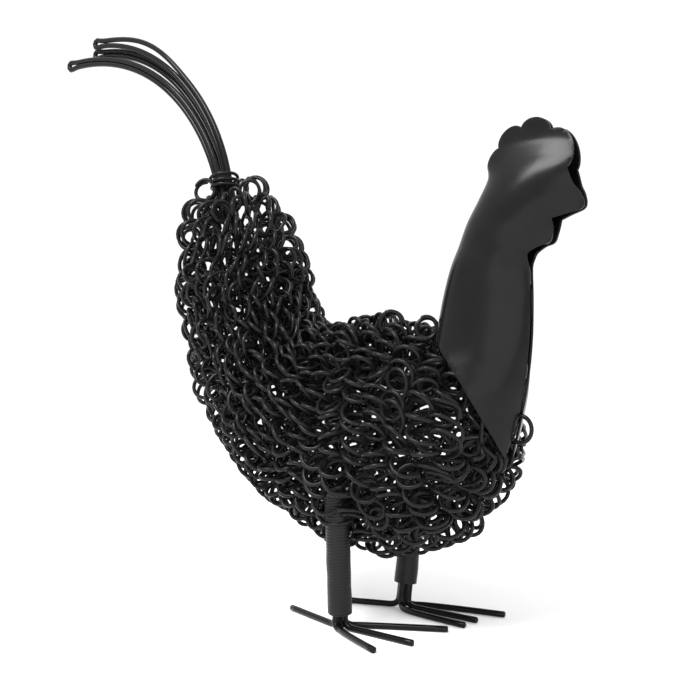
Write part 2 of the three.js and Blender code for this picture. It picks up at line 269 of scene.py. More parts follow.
sheet_coating = black_coating("sheet_coating", colour=(0.0046, 0.0048, 0.0047), shine=0.135,
                              roughness=0.22, grain=1400, grain_depth=0.00002, dust=0.002)
wire_coating = black_coating("wire_coating", colour=(0.0075, 0.0075, 0.0077), shine=0.12,
                             roughness=0.12, grain=1800, grain_depth=0.00001, dust=0.001)
rod_coating = black_coating("rod_coating", colour=(0.002, 0.002, 0.0021), shine=0.16,
                            roughness=0.22, grain=1800, grain_depth=0.00003, dust=0.002)
sleeve_coating = black_coating("sleeve_coating", colour=(0.006, 0.006, 0.0063), shine=0.18,
                               roughness=0.4, grain=1600, grain_depth=0.00003, dust=0.002)


# Legs and toes

TOE_WIRE = 2.9
TOE_CHAMFER = 0.45
TOE_SIDES = 14
FOOT_HALF_SPREAD = 23.5
LEFT_FOOT_FORWARD = 1.0
LEG_LEAN = np.array([0.049, 0.108])
LEG_TOP = 64.0
TOE_BEND = 5.0
TOE_STRAIGHT = 11.0
BUNDLE_RADIUS = (TOE_WIRE + TOUCH_GAP) / math.sqrt(2)
# The near outer toe leaves its bundle in a wider bend
NEAR_OUTER_BEND_SHIFT = np.array([-1.8, -0.9, 0.0])
# Name, reach of the tip ahead and outward, heading and place in the bundle in degrees
TOES = {
    RIGHT: [("outer", (33.5, 20), 36, 90), ("middle", (40.4, 2), 2, 0),
            ("inner", (40.5, -25), -36, -90), ("back", (-38.4, -11), 196, 180)],
    LEFT: [("inner", (42, -12), -36, -90), ("middle", (42, -1.5), -2, 0),
           ("outer", (47, 15), 36, 90), ("back", (-35, -11), 197, 180)],
}
# Coating on the rods above the toes, and the height over which it comes in
COATING_BETWEEN_RODS = 0.3
COATING_COMES_IN = 2.0
FILLING_RADIUS = 2.4
FILLING_FOOT_RADIUS = 1.2
FILLING_SWELL = 0.5
FILLING_BOTTOM = 0.9
FILLING_INTO_WRAP = 2.0
FILLING_SIDES = 24
WRAP_WIRE = 1.4
WRAP_SHORT_OF_TOP = 2.0
WRAP_BOTTOM = {RIGHT: 7.5, LEFT: 12.3}
WRAP_INNER_RADIUS = BUNDLE_RADIUS + TOE_WIRE / 2 + TOUCH_GAP
WRAP_OUTER_RADIUS = WRAP_INNER_RADIUS + WRAP_WIRE
WRAP_SIDES = 48
WRAP_ROWS_PER_TURN = 8
WRAP_END_CHAMFER = 0.3
# Depth of the grooves between turns, how open the coating leaves them and how much that varies
GROOVE_DEPTH = {RIGHT: 0.26, LEFT: 0.1}
OPEN_AT_BOTTOM = 0.55
OPEN_AT_TOP = 1.0
OPEN_VARIES = 0.2
SLEEVE_WAVE = 0.07
SLEEVE_RIPPLE = 0.05


def leg_direction(side):
    return unit(np.array([LEG_LEAN[0], side * LEG_LEAN[1], 1.0]))


def foot_middle(side):
    return np.array([LEFT_FOOT_FORWARD if side == LEFT else 0.0, side * FOOT_HALF_SPREAD, TOE_WIRE / 2])


def ground_direction(degrees, side):
    angle = math.radians(degrees)
    return np.array([math.cos(angle), side * math.sin(angle), 0.0])


def make_toe(side, label, name, tip, heading, place):
    """One rod: a toe on the ground that bends up and runs on inside the wrap of the leg."""
    up = leg_direction(side)
    foot = foot_middle(side)
    corner = foot + ground_direction(place, side) * BUNDLE_RADIUS
    bend = corner.copy()
    if side == RIGHT and name == "outer":
        bend += NEAR_OUTER_BEND_SHIFT
    leaving = corner + ground_direction(heading, side) * TOE_BEND
    guide = corner + ground_direction(heading, side) * TOE_STRAIGHT
    rising = corner + up * TOE_BEND
    top = corner + up * (LEG_TOP - TOE_WIRE / 2) / up[2]
    end = foot + np.array([tip[0], side * tip[1], 0.0])
    shank = rising + (top - rising) * np.linspace(0, 1, 8)[1:, None]
    line = np.vstack([bezier([end, guide, leaving], 12), bezier([leaving, bend, rising], 10)[1:], shank])
    points, radii = cut_ends(line, TOE_WIRE / 2, TOE_CHAMFER)
    coated = np.clip((points[:, 2] - TOE_WIRE) / COATING_COMES_IN, 0, 1)
    radii[2:-2] += coated[2:-2] * COATING_BETWEEN_RODS
    piece = make_object(f"{label}_toe_rod_{name}", *tube(points, radii, TOE_SIDES))
    sharpen(piece, WIRE_CREASE)
    settle(piece, rod_coating, "coated_wire", f"{label}_toe_{name}")


def wrap_radii(side, climb, angle, length):
    """Outside of the sleeve: ridges of the wire, more or less filled by the coating."""
    ridge = abs(np.sin(np.pi * (climb / WRAP_WIRE - angle / (2 * np.pi))))
    opening = (OPEN_AT_TOP - OPEN_AT_BOTTOM) * np.clip(climb / length * 1.6 - 0.2, 0, 1)
    open_share = OPEN_AT_BOTTOM + opening + OPEN_VARIES * np.sin(angle * 2 + climb / 9)
    radii = WRAP_OUTER_RADIUS - GROOVE_DEPTH[side] * open_share * (1 - ridge)
    radii = radii + SLEEVE_WAVE * np.sin(climb / 3.1) + SLEEVE_RIPPLE * np.sin(climb / 1.7 + angle)
    radii[0] -= WRAP_END_CHAMFER
    radii[-1] -= WRAP_END_CHAMFER
    return radii


def make_leg_wrap(side, label):
    """Sleeve of close-wound wire round the rods of a leg."""
    up = leg_direction(side)
    bottom = WRAP_BOTTOM[side]
    start = foot_middle(side) + up * (bottom - TOE_WIRE / 2) / up[2]
    length = (LEG_TOP - WRAP_SHORT_OF_TOP - bottom) / up[2]
    one = unit(np.cross(up, [0.0, 1.0, 0.0]))
    two = np.cross(up, one)
    angle = np.arange(WRAP_SIDES) * 2 * np.pi / WRAP_SIDES
    climb = np.linspace(0, length, int(length / WRAP_WIRE * WRAP_ROWS_PER_TURN))[:, None]
    inside = np.full((1, WRAP_SIDES), WRAP_INNER_RADIUS)
    radii = np.vstack([inside, wrap_radii(side, climb, angle, length), inside])
    climb = np.vstack([[[0.0]], climb, [[length]]])
    radial = np.cos(angle)[:, None] * one + np.sin(angle)[:, None] * two
    places = start + radial[None] * radii[:, :, None] + up * climb[:, :, None]
    last = (len(climb) - 1) * WRAP_SIDES
    bore = [[last + k, last + (k + 1) % WRAP_SIDES, (k + 1) % WRAP_SIDES, k] for k in range(WRAP_SIDES)]
    faces = bands(len(climb), WRAP_SIDES) + bore
    piece = make_object(f"{label}_leg_winding", places.reshape(-1, 3), faces)
    sharpen(piece, SLEEVE_CREASE)
    settle(piece, sleeve_coating, "coated_wire", f"{label}_leg_wrap")


def make_filling(side, label):
    """Coating that has run together between the rods below the wrap."""
    up = leg_direction(side)
    share = np.linspace(0, 1, 14)
    height = FILLING_BOTTOM + (WRAP_BOTTOM[side] + FILLING_INTO_WRAP - FILLING_BOTTOM) * share
    line = foot_middle(side) + up * ((height - TOE_WIRE / 2) / up[2])[:, None]
    radii = FILLING_RADIUS + FILLING_SWELL * np.clip(1 - share * 2, 0, 1)
    radii[0] = FILLING_FOOT_RADIUS
    piece = make_object(f"{label}_foot_filling", *tube(line, radii, FILLING_SIDES))
    sharpen(piece, SLEEVE_CREASE)
    settle(piece, rod_coating, "coated_wire", f"{label}_toe_middle")


for side, label in ((RIGHT, "right"), (LEFT, "left")):
    for toe in TOES[side]:
        make_toe(side, label, *toe)
    make_leg_wrap(side, label)
    make_filling(side, label)


# Tail feathers and their binding

TAIL_WIRE = 2.9
TAIL_PITCH = TAIL_WIRE + TOUCH_GAP
# The two wires of a hairpin are joined by the coating between them
HAIRPIN_GAUGE = TAIL_WIRE - 0.12
TIP_LOOP = 7.5
TIP_LOOP_RADIUS = (TIP_LOOP - TAIL_WIRE) / 2
TIP_LOOP_HALF_TURN = 122
TAIL_ROOT = (-92.0, 190.0)
TAIL_GUIDE = (-95.5, 239.0)
TAIL_FAN = 0.9
TAIL_SIDES = 12
TAIL_CHAMFER = 0.3
# Name, place across, lean of the foot forward, guide, tip and how far its two wires part
HAIRPINS = [
    ("lower", -1, 0.0, (-142, 293), (-218, 292.5), 0.0),
    ("upper", 0, 7.0, (-135, 297), (-198, 302.5), 2.3),
    ("middle", 1, -5.2, (-136.3, 293.0), (-202, 297.6), 0.0),
]
BINDING_WIRE = 1.8
BINDING_TURNS = 3
BINDING_HEIGHT = 207.0
BINDING_SLACK = 0.7
BINDING_INNER = math.hypot(TAIL_PITCH, TAIL_PITCH / 2 + TAIL_FAN) + TAIL_WIRE / 2 + BINDING_SLACK
BUNDLE_OUTSIDE = BINDING_INNER - 0.4
BINDING_PITCH = BINDING_WIRE * 1.1
# Angles before the first turn and after the last, in radians
BINDING_START = -0.5
BINDING_OVERRUN = 0.9
BINDING_WAVE = 1.5
BINDING_WAVES_PER_TURN = 0.87
BINDING_UNEVEN = 0.5
BINDING_STAND_OFF = 0.3
BINDING_SIDES = 10
# Reach of the binding up and down from its middle
BINDING_HALF_HEIGHT = 5
BINDING_CHAMFER = 0.25


def hairpin_spine(place, lean, guide, tip, steps):
    """The line midway between the two wires of a hairpin."""
    fan = place * TAIL_FAN
    controls = [(TAIL_ROOT[0] + fan, TAIL_ROOT[1]), (TAIL_GUIDE[0] + fan + lean, TAIL_GUIDE[1]), guide, tip]
    flat = bezier([(forward, place * TAIL_PITCH, height) for forward, height in controls], 400)
    return evenly(flat, steps + 1)


def rounded_line(line):
    """The line with its corners taken off, each point the mean of five."""
    return np.stack([np.convolve(np.pad(line[:, k], 2, "edge"), np.ones(5) / 5, "valid") for k in range(3)],
                    axis=1)


def make_hairpin(name, place, lean, guide, tip, spread):
    """A wire that runs out to the tip, round an eye and back."""
    steps = 70
    spine = hairpin_spine(place, lean, guide, tip, steps)
    along = tangents(spine)
    under = np.cross(along, [0.0, 1.0, 0.0])
    share = np.linspace(0, 1, steps + 1)
    # The upper wire stands off in the outer half and comes back to the other at the eye
    bow = spread * np.sin(np.pi * np.clip(2 * share - 1, 0, 1)) ** 2
    upper = spine - under * (HAIRPIN_GAUGE / 2 + bow)[:, None]
    lower = spine + under * HAIRPIN_GAUGE / 2
    angle = np.radians(np.linspace(-TIP_LOOP_HALF_TURN, TIP_LOOP_HALF_TURN, 25))
    eye = (spine[-1] + along[-1] * (TIP_LOOP_RADIUS * (1 + np.cos(angle)))[:, None]
           + under[-1] * (TIP_LOOP_RADIUS * np.sin(angle))[:, None])
    line = evenly(rounded_line(np.vstack([upper, eye, lower[::-1]])), 190)
    line[0], line[-1] = upper[0], lower[0]
    points, radii = cut_ends(line, TAIL_WIRE / 2, TAIL_CHAMFER)
    piece = make_object(f"hairpin_{name}", *tube(points, radii, TAIL_SIDES))
    sharpen(piece, WIRE_CREASE)
    settle(piece, wire_coating, "coated_wire", f"tail_feather_{name}")


def bundle_spine(steps):
    """The line up the middle of the bundle of hairpins, used near its foot."""
    _, _, _, guide, tip, _ = HAIRPINS[-1]
    return hairpin_spine(0, 0.0, guide, tip, steps)


def make_binding():
    """A few uneven turns of wire round the foot of the tail feathers."""
    spine = bundle_spine(400)
    at = int(np.argmin(abs(spine[:, 2] - BINDING_HEIGHT)))
    up = tangents(spine)[at]
    one = np.array([0.0, 1.0, 0.0])
    two = np.cross(up, one)
    count = 150
    angle = np.linspace(BINDING_START, 2 * np.pi * BINDING_TURNS + BINDING_OVERRUN, count)
    radial = np.cos(angle)[:, None] * one + np.sin(angle)[:, None] * two
    radius = BINDING_INNER + BINDING_WIRE / 2 + BINDING_STAND_OFF * wobble(count, 5, 4)
    climb = BINDING_WIRE / 2 + angle / (2 * np.pi) * BINDING_PITCH
    climb = climb + BINDING_WAVE * np.sin(angle * BINDING_WAVES_PER_TURN + 0.4)
    climb = climb + BINDING_UNEVEN * wobble(count, 8, 5)
    line = spine[at] + radial * radius[:, None] + up * climb[:, None]
    points, radii = cut_ends(line, BINDING_WIRE / 2, BINDING_CHAMFER)
    piece = make_object("tail_winding", *tube(points, radii, BINDING_SIDES))
    sharpen(piece, WIRE_CREASE)
    settle(piece, wire_coating, "coated_wire", "tail_binding")


for hairpin in HAIRPINS:
    make_hairpin(*hairpin)
make_binding()


# Head and neck sheet

SHEET_THICKNESS = 1.0
SHEET_EDGE_RADIUS = 0.22
# The sheet is laid out flat by columns, from the nape to the front edge, and heights
SHEET_COLUMNS = 12
REAR_COLUMNS = SHEET_COLUMNS / 3
COLUMN_WIDTH = 3.4
BEYOND_FRONT_COLUMN = 2
# Height, nape, widest, front, half width, half opening and roundness of the front
SHEET_LEVELS = np.array([
    (68, 41.5, 52, 69.5, 20, 1.2, 1.3), (80, 40.5, 51, 72.5, 24, 1.2, 1.3), (92, 39, 50, 76, 26, 1.3, 1.3),
    (105, 37.8, 50, 78.7, 25, 1.5, 1.4), (116, 37.5, 51, 80.2, 21, 1.7, 1.4),
    (128, 38.8, 52, 81.5, 17, 1.6, 1.4), (146, 41.8, 55, 82.2, 15, 1.5, 1.3),
    (159, 45.2, 59, 82, 14, 1.7, 1.1), (168, 48.6, 64, 91, 12.5, 2.8, 0.6),
    (178, 52.4, 71, 104, 12, 1.6, 0.6), (188, 58, 79, 108, 10.9, 1.5, 0.8), (197, 62, 85, 108, 8.3, 1.5, 1),
    (205, 60.5, 87, 108, 4.3, 1.4, 1), (212, 64, 88, 108, 1.9, 1.3, 1), (226, 66, 90, 108, 1.4, 1.3, 1),
])
COMB_NOTCHES = [(62.5, 196), (67.3, 208.8), (77.9, 216.2), (91.3, 213.6), (100.5, 196.9)]
# How far each lobe swells at its rear and its fore end
COMB_LOBES = [(2.4, 2.4), (3.8, 3.8), (4.4, 4.4), (7.2, 4.4)]
LOBE_FULLNESS = 1.4
LOBE_SHOULDER = 0.1
BEAK_EDGE = [(102.6, 190.6), (105, 186.8), (106.2, 182.8), (104.8, 180.1), (98.5, 178.4), (93.6, 177)]
WATTLE_EDGE = [(93.4, 172.5), (91.6, 167.8), (87, 166.2), (83.4, 164.4)]
NECK_FRONT_EDGE = [(82, 161), (82.3, 145), (82, 130), (80.8, 117),
                   (79, 105), (76.4, 94), (73.7, 85), (71.6, 79)]
BIB_EDGE = [(70.7, 86.5), (69.3, 92.3), (67.4, 98), (64.9, 103.6), (61.6, 109.2), (57.3, 114.7),
            (52.3, 120.4), (45.8, 126.1), (39, 129)]
BIB_TIP_HEIGHT = NECK_FRONT_EDGE[-1][1]
NAPE_STEPS = 40
PATTERN_HEIGHTS = (80, 222)
PATTERN_COLUMN_STEP = 0.45
PATTERN_HEIGHT_STEP = 1.7
PATTERN_PAST_FRONT = 6

level_table = catmull(SHEET_LEVELS, np.linspace(0, 1, 800))


def sheet_level(height):
    """Nape, widest, front, half width, half opening and roundness at these heights."""
    return [np.interp(height, level_table[:, 0], level_table[:, k]) for k in range(1, 7)]


def sheet_half_width(forward, height):
    nape, widest, front, half, opening, roundness = sheet_level(height)
    rear = np.clip((widest - forward) / (widest - nape), 0, 1)
    ahead = np.clip((forward - widest) / (front - widest), 0, 1)
    behind_widest = half * np.sqrt(1 - rear ** 2)
    before_widest = opening + (half - opening) * (1 - ahead ** 2) ** (1 / roundness)
    return np.where(forward < widest, behind_widest, before_widest)


def column_of(forward, height):
    """Column of a place of the sheet seen from the side."""
    nape, widest, front, _, _, _ = sheet_level(height)
    rear = np.arccos(np.clip((widest - forward) / (widest - nape), -1, 1)) / (np.pi / 2) * REAR_COLUMNS
    share = np.clip((forward - widest) / (front - widest), 0, 1)
    ahead = REAR_COLUMNS + np.arcsin(share) / (np.pi / 2) * (SHEET_COLUMNS - REAR_COLUMNS)
    beyond = np.clip(forward - front, 0, None) / BEYOND_FRONT_COLUMN
    return np.where(forward < widest, rear, ahead + beyond)


def place_on_sheet(column, height):
    """Distance forward and half width of a place given by its column and height."""
    nape, widest, front, _, _, _ = sheet_level(height)
    rear = widest - (widest - nape) * np.cos(np.pi / 2 * np.clip(column / REAR_COLUMNS, 0, 1))
    part = np.clip((column - REAR_COLUMNS) / (SHEET_COLUMNS - REAR_COLUMNS), 0, 1)
    beyond = BEYOND_FRONT_COLUMN * np.clip(column - SHEET_COLUMNS, 0, None)
    ahead = widest + (front - widest) * np.sin(np.pi / 2 * part) + beyond
    forward = np.where(column < REAR_COLUMNS, rear, ahead)
    return forward, sheet_half_width(forward, height)


def sheet_outline():
    """Cut edge of the sheet from the side, from the rear of the comb round to the bottom of the nape."""
    line = [np.array(COMB_NOTCHES[0], float)]
    for (rear, fore), start, end in zip(COMB_LOBES, COMB_NOTCHES, COMB_NOTCHES[1:]):
        start, end = np.array(start, float), np.array(end, float)
        chord = end - start
        outward = unit(np.array([-chord[1], chord[0]]))
        first = start + chord * LOBE_SHOULDER + outward * rear * LOBE_FULLNESS
        second = start + chord * (1 - LOBE_SHOULDER) + outward * fore * LOBE_FULLNESS
        line.extend(bezier([start, first, second, end], 18)[1:])
    for edge, steps in ((BEAK_EDGE, 6), (WATTLE_EDGE, 6), (NECK_FRONT_EDGE, 8), (BIB_EDGE, 7)):
        line.extend(through(line[-1], edge, steps))
    return np.array(line)


def sheet_pattern():
    """Places (column and height) and triangles of one half of the sheet laid flat."""
    outline = sheet_outline()
    edge = np.stack([column_of(outline[:, 0], outline[:, 1]), outline[:, 1]], axis=1)
    edge[0, 0] = edge[-1, 0] = 0
    nape_heights = np.linspace(outline[-1, 1], outline[0, 1], NAPE_STEPS + 2)[1:-1]
    nape = np.stack([np.zeros(NAPE_STEPS), nape_heights], axis=1)
    loop = np.vstack([edge, nape])
    columns = np.arange(PATTERN_COLUMN_STEP, SHEET_COLUMNS + PATTERN_PAST_FRONT, PATTERN_COLUMN_STEP)
    heights = np.arange(*PATTERN_HEIGHTS, PATTERN_HEIGHT_STEP)
    grid = np.stack(np.meshgrid(columns, heights), axis=-1).reshape(-1, 2)
    flat = [Vector((column * COLUMN_WIDTH, height)) for column, height in np.vstack([loop, grid])]
    ring = list(range(len(loop)))
    sides = list(zip(ring, ring[1:] + ring[:1]))
    places, _, triangles, *_ = delaunay_2d_cdt(flat, sides, [ring], 1, 1e-4)
    return np.array([(place.x / COLUMN_WIDTH, place.y) for place in places]), sorted(map(tuple, triangles))


def face_outward(piece):
    """Drops the places that no triangle uses and turns all faces outward."""
    work = bmesh.new()
    work.from_mesh(piece.data)
    bmesh.ops.delete(work, geom=[v for v in work.verts if not v.link_faces], context="VERTS")
    bmesh.ops.recalc_face_normals(work, faces=work.faces)
    rightmost = max(work.faces, key=lambda face: -face.calc_center_median().y)
    if rightmost.normal.y > 0:
        bmesh.ops.reverse_faces(work, faces=work.faces)
    work.to_mesh(piece.data)
    work.free()


def make_sheet():
    """The pattern and its mirror image, bent to the fold and given thickness and rounded cut edges."""
    pattern, triangles = sheet_pattern()
    column, height = pattern.T
    forward, half = place_on_sheet(column, height)
    on_nape = column < 1e-4
    half[on_nape] = 0
    near = np.stack([forward, -half, height], axis=1)
    far = (near * [1, -1, 1])[~on_nape]
    mirrored = np.where(on_nape, np.arange(len(near)), np.cumsum(~on_nape) - 1 + len(near))
    faces = triangles + [tuple(int(mirrored[v]) for v in reversed(triangle)) for triangle in triangles]
    piece = make_object("folded_sheet", np.vstack([near, far]), faces)
    face_outward(piece)
    wall = piece.modifiers.new("wall", "SOLIDIFY")
    wall.thickness = SHEET_THICKNESS * MM
    wall.offset = -1
    wall.use_rim = True
    rim = piece.modifiers.new("rim", "BEVEL")
    rim.limit_method = "ANGLE"
    rim.angle_limit = math.radians(WIRE_CREASE)
    rim.width = SHEET_EDGE_RADIUS * MM
    rim.segments = 2
    settle(piece, sheet_coating, "coated_sheet", "head_and_neck_sheet")


make_sheet()


# Body coil: one long open spring wound in rows, up to three loops deep

SPRING_WIRE = 1.9
SPRING_LOOP = 13.2
SPRING_CLEARANCE = SPRING_WIRE / 2 + TOUCH_GAP
SAMPLES_PER_TURN = 20
WIRE_SIDES = 7
# Name, depth below the surface, first row, side it is wound to, spacing of its turns, number of meshes
SPRING_LAYERS = [
    ("outer", 0.0, 0.1, 1, 6.8, 2),
    ("second", 9.0, 1.6, -1, 11.5, 1),
    ("third", 18.0, 3.0, 1, 14.0, 1),
]
SPRING_ROWS = 26
CLOSING_ROWS = 1.7
CLOSING_SHARE = 0.85
ROW_INSET = 1.1
LEAST_ROW_RADIUS = 3.0
# How far the top row of the spring droops, at which row and over what share of it
TOP_ROW_DROOP = 12
TOP_ROW = 0.75
TOP_ROW_SPREAD = 0.2
PROFILE_SAMPLES = 1500
AXIS_SAMPLES = 60000
FIRST_SEED = 20
# Samples of wire over which a move out of the way is spread, one pass after the other
EASING_SPANS = (9, 3)
OUTER_PROFILE = [
    (-102, 209), (-110, 190), (-113, 165), (-109, 139), (-100, 114), (-86, 90),
    (-66, 67), (-39, 47), (-8, 37), (24, 37), (51, 50), (66, 72),
]
INNER_PROFILE = [
    (-76, 208), (-62, 189), (-54, 171), (-50, 157), (-46, 145), (-39, 136),
    (-30, 131), (-18, 131), (-4, 134), (16, 135), (42, 126), (64.5, 107),
]
ROW_HALF_WIDTHS = [13, 24, 29, 31, 33, 35, 37, 39, 40, 39, 36, 29]
# The turns stand in bunches, whose place shifts a little every few turns
TURNS_PER_BUNCH = 2.0
BUNCHING = 0.72
BUNCH_SHIFT = 1.5
BUNCH_SHIFT_EVERY = 5
# How far the loops wander from their row, lean, twist and differ in size, and how many turns that takes
WANDER_OUT = 1.3
WANDER_ACROSS = 2.0
LOOP_LEAN = 0.55
WANDER_EVERY = 2.3
LOOP_TWIST = 1.9
TWIST_EVERY = 2.9
LOOP_CHANGE = 0.08
LOOP_CHANGE_EVERY = 1.7
# Highest place of the spring's wire under the sheet, which falls a little towards the front
NAPE_ROOF = 123.0
ROOF_FALL = 0.25
ROOF_FALLS_FROM = 40
# Wire above the roof and behind this place is beside or behind the nape
BESIDE_NAPE = 47
FOLD_START = 46
# The fold concerns only wire further forward and higher than this
FOLD_REGION = (30, 60)
BEHIND_FRONT_EDGE = 9
# Above the tip of the bib the wire may come forward over this height, and below it freely
TIP_EASING = 6
FORWARD_ABOVE_TIP = 1.2
FORWARD_BELOW_TIP = 6
# Half width left to the wire inside the fold, and what it gains for each millimetre outside it
LEAST_ROOM = 0.5
CUT_EDGE_MARGIN = 1
ROOM_OUTSIDE_BIB = 2.5
ROOM_BEHIND_FOLD = 3


def row_sections(rows, depth):
    """Middle, outward direction, half height and half width of the rows."""
    share = (rows - 0.5) / (SPRING_ROWS - 1)
    fine = np.linspace(0, 1, PROFILE_SAMPLES)
    run = run_along(catmull(OUTER_PROFILE, fine))
    place = np.interp(np.clip(share, 0, 1) * run[-1], run, fine)
    outer = catmull(OUTER_PROFILE, place)
    inner = catmull(INNER_PROFILE, place)
    half_width = catmull(np.array(ROW_HALF_WIDTHS, float)[:, None], place)[:, 0]
    half_height = np.linalg.norm(outer - inner, axis=1) / 2
    closing = 1 - CLOSING_SHARE * np.clip((rows - SPRING_ROWS + 0.5) / CLOSING_ROWS, 0, 1)
    outward = unit(outer - inner)
    half_height = np.clip(half_height - ROW_INSET - depth, LEAST_ROW_RADIUS, None) * closing
    half_width = np.clip(half_width - ROW_INSET - depth, LEAST_ROW_RADIUS, None) * closing
    return (outer + inner) / 2, outward, half_height, half_width


def spring_axis(depth, first_row, hand):
    """The line that the loops are wound about, row after row from the tail to the chest, and its normals."""
    rows = np.linspace(first_row, SPRING_ROWS + CLOSING_ROWS - 0.5, AXIS_SAMPLES)
    middle, outward, half_height, half_width = row_sections(rows, depth)
    angle = 2 * np.pi * rows * hand
    flat = middle + outward * (np.cos(angle) * half_height)[:, None]
    flat[:, 1] -= TOP_ROW_DROOP * np.exp(-((rows - TOP_ROW) / TOP_ROW_SPREAD) ** 2)
    line = np.stack([flat[:, 0], np.sin(angle) * half_width, flat[:, 1]], axis=1)
    normal = np.stack([outward[:, 0] * np.cos(angle) / half_height, np.sin(angle) / half_width,
                       outward[:, 1] * np.cos(angle) / half_height], axis=1)
    return line, unit(normal)


def bib_depth(forward, height):
    """How far a place is inside the sheet's cut edge below the neck, seen from the side."""
    edge = np.array(through(NECK_FRONT_EDGE[-1], BIB_EDGE, 8))
    start, end = edge[:-1], edge[1:]
    span = end - start
    to_place = np.stack([forward, height], axis=1)[:, None] - start[None]
    along = np.clip(np.sum(to_place * span, axis=2) / np.sum(span ** 2, axis=1), 0, 1)
    apart = to_place - along[:, :, None] * span
    distance = np.linalg.norm(apart, axis=2)
    nearest = np.argmin(distance, axis=1)
    number = np.arange(len(forward))
    turned = span[nearest, 0] * apart[number, nearest, 1] - span[nearest, 1] * apart[number, nearest, 0]
    return np.where(turned < 0, 1, -1) * distance[number, nearest]


def behind_front(forward, height):
    """Keeps wire behind the front edge of the sheet, and lets it forward again below the tip of the bib."""
    _, _, front, _, _, _ = sheet_level(height)
    near_tip = FORWARD_ABOVE_TIP * np.clip(BIB_TIP_HEIGHT + TIP_EASING - height, 0, TIP_EASING)
    below_tip = FORWARD_BELOW_TIP * np.clip(BIB_TIP_HEIGHT - height, 0, None)
    return np.minimum(forward, front - BEHIND_FRONT_EDGE + near_tip + below_tip)


def clear_of_sheet(points, reach):
    """Keeps wire beside and behind the nape out of the sheet, and wire below the neck inside its fold."""
    forward, side, height = points.T.copy()
    roof = NAPE_ROOF - ROOF_FALL * np.clip(forward - ROOF_FALLS_FROM, 0, None)
    above = height > roof
    beside = above & (forward < BESIDE_NAPE)
    height = np.where(above & ~beside, roof, height)
    nape, widest, _, half, _, _ = sheet_level(height)
    back = widest - (widest - nape) * np.sqrt(np.clip(1 - (side / half) ** 2, 0, 1))
    forward = np.where(beside & (abs(side) < half), np.minimum(forward, back - reach), forward)
    forward = behind_front(forward, height)
    depth = bib_depth(forward, height)
    depth = np.where(height < BIB_TIP_HEIGHT, -abs(depth), depth)
    room = sheet_half_width(np.clip(forward, FOLD_START, None), height) - SHEET_THICKNESS - reach
    room = np.clip(room, LEAST_ROOM, None) + ROOM_OUTSIDE_BIB * np.clip(-depth - CUT_EDGE_MARGIN, 0, None)
    room = room + ROOM_BEHIND_FOLD * np.clip(FOLD_START - forward, 0, None)
    inside = ~beside & (forward > FOLD_REGION[0]) & (height > FOLD_REGION[1])
    side = np.where(inside, np.sign(side) * np.minimum(abs(side), room), side)
    return np.stack([forward, side, height], axis=1)


def clear_of_bar(points, start, direction, length, radius):
    """Keeps wire outside a round bar."""
    away = points - start
    along = away @ direction
    off = away - along[:, None] * direction
    distance = np.linalg.norm(off, axis=1)
    over = np.clip(along - length, 0, None)
    needed = np.sqrt(np.clip(radius ** 2 - over ** 2, 0, None))
    push = np.clip(needed / np.maximum(distance, 0.2), 1, None)
    return np.where((along > 0)[:, None], start + along[:, None] * direction + off * push[:, None], points)


def clear_of_legs(points):
    radius = WRAP_OUTER_RADIUS + SPRING_CLEARANCE
    for side in (RIGHT, LEFT):
        up = leg_direction(side)
        points = clear_of_bar(points, foot_middle(side), up, LEG_TOP / up[2], radius)
    return points


def clear_of_tail(points):
    """Keeps wire outside the foot of the bundle of hairpins and its binding."""
    spine = bundle_spine(200)[:60]
    away = points[:, None] - spine[None]
    distance = np.linalg.norm(away, axis=2)
    nearest = np.argmin(distance, axis=1)
    number = np.arange(len(points))
    middle_of_binding = BINDING_HEIGHT + BINDING_TURNS * BINDING_WIRE / 2
    wound = abs(spine[nearest, 2] - middle_of_binding) < BINDING_HALF_HEIGHT
    radius = np.where(wound, BINDING_INNER + BINDING_WIRE + TOUCH_GAP, BUNDLE_OUTSIDE) + SPRING_CLEARANCE
    push = np.clip(radius / np.maximum(distance[number, nearest], 0.3), 1, None)
    near = nearest > 0
    return np.where(near[:, None], spine[nearest] + away[number, nearest] * push[:, None], points)


def eased(wire, span):
    """The wire kept clear of the rest, each move spread over this many samples so that it isn't crumpled."""
    move = clear_of_tail(clear_of_legs(clear_of_sheet(wire, SPRING_CLEARANCE))) - wire
    spread = np.stack([np.convolve(move[:, k], np.ones(span) / span, "same") for k in range(3)], axis=1)
    return wire + spread


